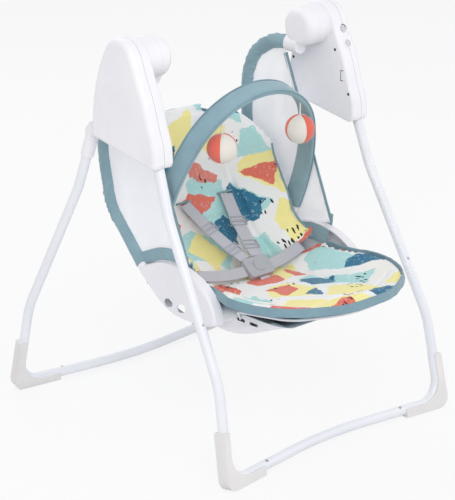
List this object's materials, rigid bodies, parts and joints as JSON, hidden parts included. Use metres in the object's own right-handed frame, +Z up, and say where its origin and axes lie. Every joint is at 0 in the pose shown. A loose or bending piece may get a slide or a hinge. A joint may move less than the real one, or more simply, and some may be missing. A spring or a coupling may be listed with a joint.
{
  "type": "baby swing",
  "caption": "Portable baby swing: folding A-frame of bent tube, side drive housings, and a slung padded seat with mesh sides, harness, and a tilting toy arch with hanging balls.",
  "frame": {"origin": "middle of the footprint box, on the floor", "axes": "+Z up, -Y the way the child faces, +X to the right as seen from the front"},
  "size_m": [0.62, 0.7464, 0.8086],
  "materials": {
    "frame_tube": "satin",
    "foot_shell": "fine matt",
    "housing_white": "satin",
    "key_grey": "satin",
    "steel": "bright",
    "inner_plastic": "matt",
    "coil_wire": "enamelled copper",
    "cell_case": "printed sleeve",
    "teal_cloth": "woven",
    "mesh": "open net",
    "pad_cloth": "printed",
    "webbing": "ribbed",
    "buckle_grey": "satin",
    "toy_cord": "twisted",
    "toy_cloth": "plush"
  },
  "bodies": {
    "frame": {"front_leg_upper_L": "frame_tube", "front_leg_upper_R": "frame_tube", "front_leg_lower_L": "frame_tube", "front_leg_lower_R": "frame_tube", "front_base_tube": "frame_tube", "front_foot_L": "foot_shell", "front_foot_R": "foot_shell", "snap_buttons_front": "steel", "housing_outer_L": "housing_white", "housing_outer_R": "housing_white", "housing_inner_L": "housing_white", "housing_inner_R": "housing_white", "housing_screws": "steel", "leg_pivot_pins": "steel", "shaft_bushes": "inner_plastic", "control_panel": "housing_white", "drive_coil": "coil_wire", "drive_shelves": "inner_plastic", "battery_cells": "cell_case"},
    "rear_frame": {"rear_leg_L": "frame_tube", "rear_leg_R": "frame_tube", "rear_base_tube": "frame_tube", "rear_foot_L": "foot_shell", "rear_foot_R": "foot_shell", "snap_buttons_rear": "steel", "rear_leg_bracket_L": "housing_white", "rear_leg_bracket_R": "housing_white"},
    "swing": {"arm_hub_L": "housing_white", "arm_hub_R": "housing_white", "arm_tube_L": "frame_tube", "arm_tube_R": "frame_tube", "arm_sleeve_L": "teal_cloth", "arm_sleeve_R": "teal_cloth", "side_mesh_L": "mesh", "side_mesh_R": "mesh", "side_shell_L": "housing_white", "side_shell_R": "housing_white", "swing_shafts": "steel", "magnet_lever": "steel", "back_sling": "teal_cloth", "seat_pan": "housing_white", "footrest_wire": "frame_tube", "back_pad": "pad_cloth", "seat_pad": "pad_cloth", "shoulder_strap_L": "webbing", "shoulder_strap_R": "webbing", "waist_strap_L": "webbing", "waist_strap_R": "webbing", "crotch_strap": "webbing", "buckle_body": "buckle_grey", "strap_adjusters": "buckle_grey"},
    "buckle_release": {"buckle_release": "buckle_grey"},
    "speed_key": {"speed_key": "key_grey"},
    "timer_key": {"timer_key": "key_grey"},
    "toy_bar": {"toy_bar": "housing_white"},
    "toy_left": {"toy_string_L": "toy_cord", "toy_ball_L": "toy_cloth"},
    "toy_right": {"toy_string_R": "toy_cord", "toy_ball_R": "toy_cloth"}
  },
  "joints": [
    {"name": "rear_leg_fold", "type": "hinge", "parent": "frame", "child": "rear_frame", "pos_m": [0, 0.06976, 0.64], "axis": [-1, 0, 0], "range_deg": [0, 48]},
    {"name": "seat_swing", "type": "hinge", "parent": "frame", "child": "swing", "pos_m": [0, 0.01816, 0.7626], "axis": [1, 0, 0], "range_deg": [-20, 20]},
    {"name": "toy_bar_tilt", "type": "hinge", "parent": "swing", "child": "toy_bar", "pos_m": [0, 0.03876, 0.366], "axis": [1, 0, 0], "range_deg": [-12, 40]},
    {"name": "toy_left_swing", "type": "hinge", "parent": "toy_bar", "child": "toy_left", "pos_m": [-0.105, -0.07303, 0.63635], "axis": [1, 0, 0], "range_deg": [-30, 30]},
    {"name": "toy_right_swing", "type": "hinge", "parent": "toy_bar", "child": "toy_right", "pos_m": [0.105, -0.07303, 0.63635], "axis": [1, 0, 0], "range_deg": [-30, 30]},
    {"name": "speed_key_press", "type": "slide", "parent": "frame", "child": "speed_key", "axis": [0, 0.8616, -0.5075], "range_m": [0, 0.0012], "stiffness_N_per_m": 800},
    {"name": "timer_key_press", "type": "slide", "parent": "frame", "child": "timer_key", "axis": [0, 0.8616, -0.5075], "range_m": [0, 0.0012], "stiffness_N_per_m": 800},
    {"name": "buckle_release_press", "type": "slide", "parent": "swing", "child": "buckle_release", "axis": [0, 0.6157, -0.788], "range_m": [0, 0.0014], "stiffness_N_per_m": 800}
  ]
}
